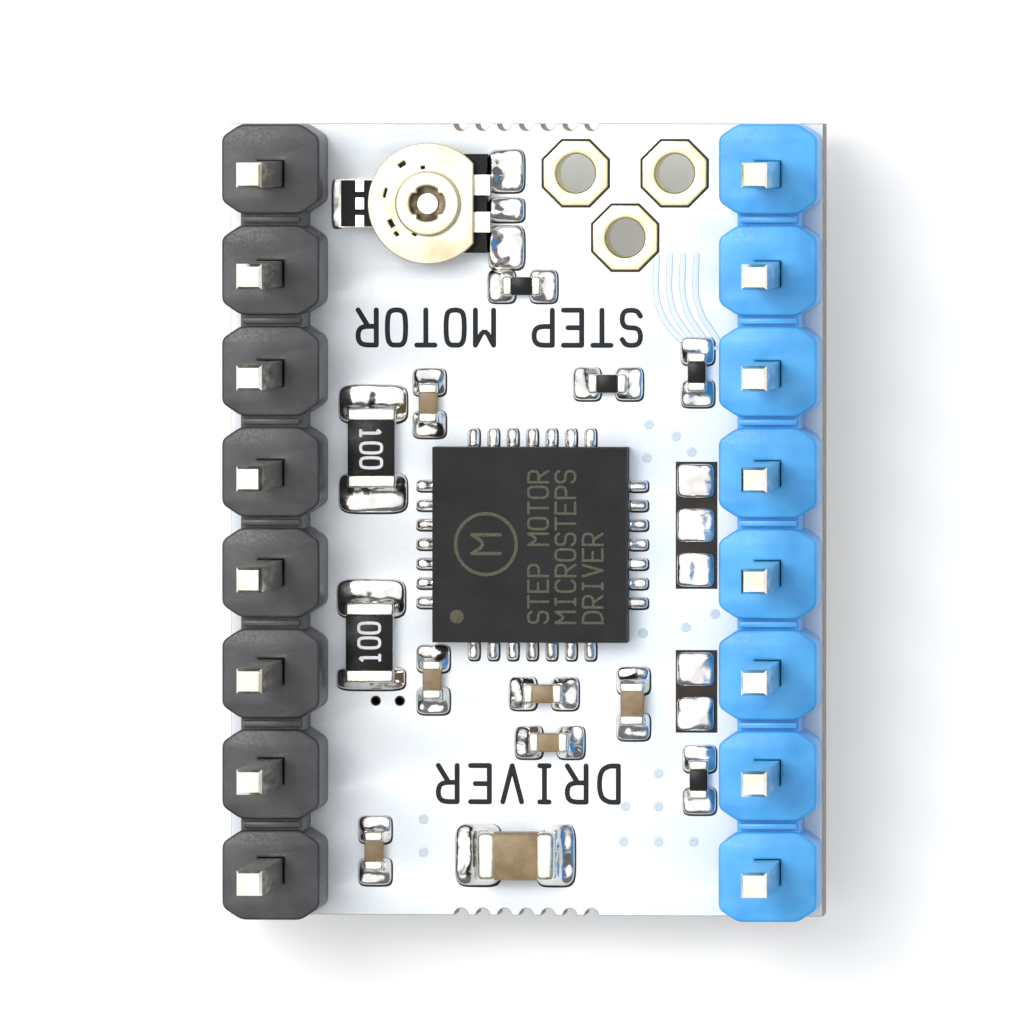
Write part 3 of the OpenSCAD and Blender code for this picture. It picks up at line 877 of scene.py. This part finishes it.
def build_trimmer():
    build_rotor()
    rounded("trimmer_wiper", [GOLD], 0.03)
    rounded("trimmer_base", [RESIN], 0.04)
    rounded("trimmer_track", [CARBON], 0)
    rounded("trimmer_wiper_terminal", [TIN], 0.02)
    rounded("trimmer_end_terminal_1", [TIN], 0.03)
    rounded("trimmer_end_terminal_2", [TIN], 0.03)
    base_low, base_high = box_mm("trimmer_base")
    front = box_mm("trimmer_end_terminal_1")[1].x
    solder_low, solder_high = box_mm("trimmer_solder")
    middle_y = (base_low.y + base_high.y) / 2
    bm = bmesh.new()
    for low_y, high_y in TRIMMER_PADS:
        centre = ((front + solder_high.x) / 2 - 0.05, middle_y + (low_y + high_y) / 2)
        half = ((solder_high.x - front) / 2 + 0.05, (high_y - low_y) / 2)

        def surface(u, v, half=half):
            reach = max(0.0, u + half[0] - 0.05)
            return 0.13 + 0.24 * math.exp(-reach / 0.2)

        add_solder(bm, centre, half, surface, lumps=0.5)
    add_solder(bm, (solder_low.x + WIPER_PAD_HALF[0], middle_y), WIPER_PAD_HALF,
               lambda u, v: 0.06, lumps=0.2)
    piece("trimmer_solder_pools", bm, [SOLDER], replaces=("trimmer_solder",), sharp=80)


# ---------- Chip resistors and capacitors ----------

WRAP = 0.03                     # wall of the metal end caps
SMALL_END = 0.26
LARGE_END = 0.34
BULK_END = 0.5
COAT_RISE = 0.02                # the glass coat's top, above the end caps
SMALL_OUTS = (0.4, 0.4)         # how far the pads run out past the part's two ends
SMALL_PAD_W = 0.86
SENSE_OUTS = ((0.6, 0.65), (0.6, 0.2))
SENSE_PAD_W = 1.76
BULK_OUTS = (0.45, 0.63)
BULK_PAD_W = 1.6


class ChipPart:
    """One two-ended part: its centre, turn and outer size come from its core's CAD box."""

    def __init__(self, node, end, outs, pad_w):
        low, high = box_mm(node)
        span = high - low
        upright = span.y > span.x
        self.node = node
        self.turn = math.pi / 2 if upright else 0.0
        self.centre = (low + high) / 2
        core = Vector((max(span.x, span.y), min(span.x, span.y), span.z))
        self.size = core + Vector((WRAP,) * 3) * 2
        self.end = end
        self.outs = outs
        self.pad_w = pad_w
        self.base = low.z - WRAP
        self.matrix = (Matrix.Translation((self.centre.x, self.centre.y, self.base))
                       @ Matrix.Rotation(self.turn, 4, "Z"))

    def body(self, material, slot, edge=0.05):
        length, width, height = self.size
        bm = bmesh.new()
        add_box(bm, (-length / 2 + WRAP, -width / 2 + WRAP / 2, WRAP),
                (length / 2 - WRAP, width / 2 - WRAP / 2, height - WRAP), edge, 2, self.matrix)
        piece(f"{self.node}_core", bm, [material], replaces=(self.node,))

    def add_ends(self, bm, edge):
        """Metal caps that stand a little proud of the core, with soft corners."""
        length, width, height = self.size
        for side in (-1, 1):
            inner = side * (length / 2 - self.end)
            outer = side * length / 2
            add_box(bm, (min(inner, outer), -width / 2, 0), (max(inner, outer), width / 2, height),
                    edge, 3, self.matrix)

    def add_pools(self, bm):
        """Solder on both pads: it climbs the caps and thins out to the pad's rim."""
        length, width, height = self.size
        for side, out in zip((1, -1), self.outs):
            inner = length / 2 - self.end - 0.06
            outer = length / 2 + out
            middle = (inner + outer) / 2
            half = ((outer - inner) / 2, self.pad_w / 2)
            place = self.matrix @ Vector((side * middle, 0, 0))
            turn = self.turn + (0 if side > 0 else math.pi)
            lean = random.uniform(-0.3, 0.3)
            rise = height * random.uniform(0.5, 0.72)

            def surface(u, v, middle=middle, lean=lean, rise=rise):
                gap_x = max(0.0, u + middle - length / 2)
                gap_y = max(0.0, abs(v) - width / 2)
                reach = math.hypot(gap_x, gap_y)
                return 0.13 + (rise - 0.13) * math.exp(-reach / 0.1) + 0.05 * lean * v / half[1]

            add_solder(bm, place, half, surface, turn, lumps=0.45)


def build_chip_parts():
    capacitors = [ChipPart(f"capacitor_{i + 1}", SMALL_END, SMALL_OUTS, SMALL_PAD_W)
                  for i in range(6)]
    resistors = [ChipPart(f"resistor_{i + 1}", SMALL_END, SMALL_OUTS, SMALL_PAD_W)
                 for i in range(4)]
    senses = [ChipPart(f"sense_resistor_{i + 1}", LARGE_END, outs, SENSE_PAD_W)
              for i, outs in enumerate(SENSE_OUTS)]
    bulk = ChipPart("bulk_capacitor", BULK_END, BULK_OUTS, BULK_PAD_W)
    for part in capacitors:
        part.body(TAN, "capacitor_ceramic")
    bulk.body(TAN, "capacitor_ceramic", 0.13)
    for part in resistors + senses:
        part.body(ALUMINA, "alumina", 0.02)
    groups = (("capacitor_end_caps", capacitors, "capacitor_ends"),
              ("resistor_end_caps", resistors, "resistor_ends"),
              ("sense_resistor_end_caps", senses, "sense_resistor_ends"),
              ("bulk_capacitor_end_caps", [bulk], "bulk_capacitor_ends"))
    for name, parts, node in groups:
        bm = bmesh.new()
        for part in parts:
            part.add_ends(bm, 0.14 if part is bulk else 0.07)
        piece(name, bm, [TIN], replaces=(node,))
    for name, parts, node in (("resistor_glass_coats", resistors, "resistor_coats"),
                              ("sense_resistor_glass_coats", senses, "sense_resistor_coats")):
        bm = bmesh.new()
        for part in parts:
            length, width, height = part.size
            x = length / 2 - part.end + 0.02
            add_box(bm, (-x, -width / 2 + 0.02, height - WRAP - 0.02),
                    (x, width / 2 - 0.02, height + COAT_RISE), 0.025, 2, part.matrix)
        piece(name, bm, [COAT], replaces=(node,))
    bm = bmesh.new()
    for part in capacitors + resistors + senses + [bulk]:
        part.add_pools(bm)
    piece("chip_part_solder", bm, [SOLDER], replaces=("passive_solder",), sharp=80)
    build_sense_marks(senses)


def build_sense_marks(senses):
    """A generic value code on each sense resistor, the two turned opposite ways."""
    bm = bmesh.new()
    for part, flip in zip(senses, (-1, 1)):
        place = (part.centre.x, part.centre.y)
        strokes = text_strokes("100", place, 0.54, 0.38, flip * math.pi / 2, narrow=0.72)
        add_lines(bm, strokes, 0.085, part.base + part.size.z + COAT_RISE, 0.006)
    piece("sense_resistor_marks", bm, [WHITE_INK], sharp=180)


# ---------- Solder jumpers, test sockets and the back ----------

JUMPERS = ((4.37, -0.13, 3), (4.37, -4.39, 2))
JUMPER_PITCH = 1.14
JUMPER_HALF = (0.48, 0.44)
OPENING_AND_SHADE_RIM = 0.05              # exposed board around a pad in its opening, near black: partly painted shade
PAD_SHADE_LINE = 0.022                # and the line of painted shade around a soldered pad
PAD_SHADE_SHIFT = (0.014, -0.022)     # the painted shade line sits this far off the pads, so it is thicker on the lower right
LINE_STEPS = 48


def build_jumpers():
    """Domed pads in openings: dark board shows between them, and a near-black rim of painted shade,
    wider on the right, around them.
    """
    bare_and_shade = bmesh.new()
    bm = bmesh.new()
    for x, y, count in JUMPERS:
        tall = ((count - 1) * JUMPER_PITCH) / 2 + JUMPER_HALF[1] + OPENING_AND_SHADE_RIM
        wide = JUMPER_HALF[0] + OPENING_AND_SHADE_RIM
        # painted shade: the rim reaches 0.01 further right, and the pads sit 0.02 to the left
        add_box(bare_and_shade, (x - wide, y - tall, TOP - 0.05), (x + wide + 0.01, y + tall, TOP + 0.006))
        for i in range(count):
            tilt = random.uniform(-0.03, 0.03)

            def surface(u, v, tilt=tilt):
                return 0.12 - 0.05 * (u / 0.5) ** 2 * (v / 0.45) ** 2 + tilt * u

            place = (x - 0.02, y + (i - (count - 1) / 2) * JUMPER_PITCH)
            add_solder(bm, place, JUMPER_HALF, surface, power=7.0, lumps=0.55)
    piece("solder_jumper_openings_and_shade", bare_and_shade, [LAMINATE_AND_SHADE])
    piece("solder_jumper_pools", bm, [SOLDER], replaces=("solder_jumpers",), sharp=80)


SOCKET_PAD_W = 1.66


def octagon(place, across):
    radius = across / 2 / math.cos(math.pi / 8)
    return circle_points((place.x, place.y), radius, 8, math.pi / 8)


def build_pad_shade_lines():
    """Thin dark outline of painted shade around every soldered pad, thicker on the lower right."""
    bm = bmesh.new()
    for k, (centre, half, turn, power) in enumerate(pools):
        cos, sin = math.cos(turn), math.sin(turn)
        rim = []
        for i in range(LINE_STEPS):
            x, y = rim_point(i, LINE_STEPS, half, power, PAD_SHADE_LINE)
            rim.append((centre[0] + PAD_SHADE_SHIFT[0] + x * cos - y * sin,
                        centre[1] + PAD_SHADE_SHIFT[1] + x * sin + y * cos))
        z = TOP + 0.003 + 0.0002 * (k % 5)
        top = [bm.verts.new((x, y, z)) for x, y in rim]
        foot = [bm.verts.new((x, y, TOP - 0.01)) for x, y in rim]
        bm.faces.new(top)
        bm.faces.new(foot[::-1])
        for i in range(LINE_STEPS):
            j = (i + 1) % LINE_STEPS
            bm.faces.new((foot[i], foot[j], top[j], top[i]))
    # the near-black line paints the shade at the pools' edges
    piece("pad_painted_shade_lines", bm, [LAMINATE_AND_SHADE])


def build_sockets():
    """Octagonal pads with a plated barrel, in openings whose near-black ring of board is also
    painted shade at the pads' edges.
    """
    bare_and_shade = bmesh.new()
    for place in socket_places():
        # near-black ring: exposed board that also paints the shade at the pad's edge
        for z in (UNDER - 0.006, TOP):
            add_plate(bare_and_shade, [octagon(place, SOCKET_PAD_W + 2 * OPENING_AND_SHADE_RIM),
                             circle_points(place, SOCKET_R + 0.06)], z, z + 0.006)
    piece("test_socket_openings_and_shade", bare_and_shade, [LAMINATE_AND_SHADE])
    for i, place in enumerate(socket_places()):
        bm = bmesh.new()
        bore = circle_points(place, SOCKET_R + 0.02)
        for z in (UNDER - FILM, TOP):
            add_plate(bm, [octagon(place, SOCKET_PAD_W), bore], z, z + FILM, 0.018)
        low, high = UNDER - FILM, TOP + FILM
        profile = [(0.04, low + 0.005), (0.04, high - 0.005), (0.02, high), (0.005, high - 0.012),
                   (0, TOP), (0, UNDER), (0.005, low + 0.012), (0.02, low)]
        add_lathe(bm, [(SOCKET_R + out, z) for out, z in profile], place, closed=True)
        piece(f"test_socket_barrel_{i + 1}", bm, [GOLD],
              replaces=(f"test_socket_{i + 1}",))


def build_back():
    """Bare pad with a grid of small via dimples, and pin numbers beside the rows."""
    low, high = box_mm("heat_spreader_pad")
    bm = bmesh.new()
    corners = []
    corner_r = 0.5
    for x, y, start in ((high.x, high.y, 0), (low.x, high.y, 90), (low.x, low.y, 180),
                        (high.x, low.y, 270)):
        away_x, away_y = (-1 if x == high.x else 1), (-1 if y == high.y else 1)
        for k in range(9):
            a = math.radians(start + 90 * k / 8)
            corners.append((x + corner_r * (away_x + math.cos(a)),
                            y + corner_r * (away_y + math.sin(a))))
    holes = [circle_points((low.x + 1.2 + 1.2 * i, low.y + 1.1 + 1.17 * j), 0.13, 20)
             for i in range(6) for j in range(8)]
    add_plate(bm, [corners] + holes, low.z, high.z, 0.01)
    piece("heat_spreader_plate", bm, [GOLD], replaces=("heat_spreader_pad",))
    strokes = []
    for k, place in enumerate(pin_places()):
        side = 1 if place.x < 0 else -1
        beside = (place.x + side * 1.45, place.y)
        strokes += text_strokes(str(k % PINS + 1), beside, 0.7, 0.6, 0, -1)
    bm = bmesh.new()
    add_lines(bm, strokes, 0.11, UNDER, LINE_RISE)
    piece("back_print", bm, [INK], sharp=180)


build_board()
build_tracks()
build_vias()
build_print()
build_headers()
build_pin_joints()
build_chip()
build_trimmer()
build_chip_parts()
build_jumpers()
build_pad_shade_lines()
build_sockets()
build_back()


# ---------- Floor, light and camera ----------

VIEW_DISTANCE = 370
LENS = 507
SENSOR = 36
AIM = Vector((-0.37, 0.2, TOP))
LEAN = (math.tan(math.radians(4.4)), math.tan(math.radians(1.75)))


def build_floor():
    """Pale matt floor with a faint glow of its own, clear when it's seen from below."""
    n = Nodes("studio_floor")
    cloud = n.noise(30, 3)
    colour = n.ramp(cloud, (0.86, 0.86, 0.86), (0.9, 0.9, 0.9))
    material = n.finish(Base_Color=colour, Roughness=0.7, Emission_Color=colour,
                        Emission_Strength=0.13)
    clear = n.add("ShaderNodeBsdfTransparent")
    geometry = n.add("ShaderNodeNewGeometry")
    blend = n.add("ShaderNodeMixShader")
    n.set(blend, 0, geometry.outputs["Backfacing"])
    n.set(blend, 1, n.shader.outputs["BSDF"])
    n.set(blend, 2, clear.outputs["BSDF"])
    n.set(n.tree.nodes["Material Output"], "Surface", blend.outputs["Shader"])
    bm = bmesh.new()
    bmesh.ops.create_grid(bm, x_segments=8, y_segments=8, size=0.6)
    mesh = bpy.data.meshes.new("studio_floor")
    bm.to_mesh(mesh)
    bm.free()
    mesh.materials.append(material)
    floor = bpy.data.objects.new("studio_floor", mesh)
    bpy.context.scene.collection.objects.link(floor)


def add_softbox(name, place_mm, size_mm, watts):
    """Rectangular lamp that faces the board."""
    light = bpy.data.lights.new(name, "AREA")
    light.shape = "RECTANGLE"
    light.size, light.size_y = (s * MM for s in size_mm)
    light.energy = watts
    obj = bpy.data.objects.new(name, light)
    bpy.context.scene.collection.objects.link(obj)
    place = Vector(place_mm) * MM
    obj.location = place
    obj.rotation_euler = (AIM * MM - place).to_track_quat("-Z", "Y").to_euler()


def build_light():
    add_softbox("sky_box", (-90, 80, 420), (900, 900), 3.2)
    add_softbox("left_key", (-120, 110, 400), (170, 170), 0.75)
    world = bpy.data.worlds.new("studio")
    bpy.context.scene.world = world
    world.use_nodes = True
    background = world.node_tree.nodes["Background"]
    background.inputs["Color"].default_value = (0.9, 0.93, 1.0, 1)
    background.inputs["Strength"].default_value = 0.21


def build_camera():
    """Camera above the board, at the photo's lean, with the trimmer's side up."""
    camera = bpy.data.cameras.new("camera")
    camera.lens = LENS
    camera.sensor_width = SENSOR
    camera.clip_start = 0.01
    camera.clip_end = 10
    obj = bpy.data.objects.new("camera", camera)
    bpy.context.scene.collection.objects.link(obj)
    back = Vector((*LEAN, 1)).normalized()
    right = Vector((0, 1, 0)).cross(back).normalized()
    up = back.cross(right)
    turn = Matrix((right, up, back)).transposed()
    obj.matrix_world = Matrix.Translation((AIM + back * VIEW_DISTANCE) * MM) @ turn.to_4x4()
    bpy.context.scene.camera = obj


build_floor()
build_light()
build_camera()
bpy.context.scene.view_settings.view_transform = "Standard"
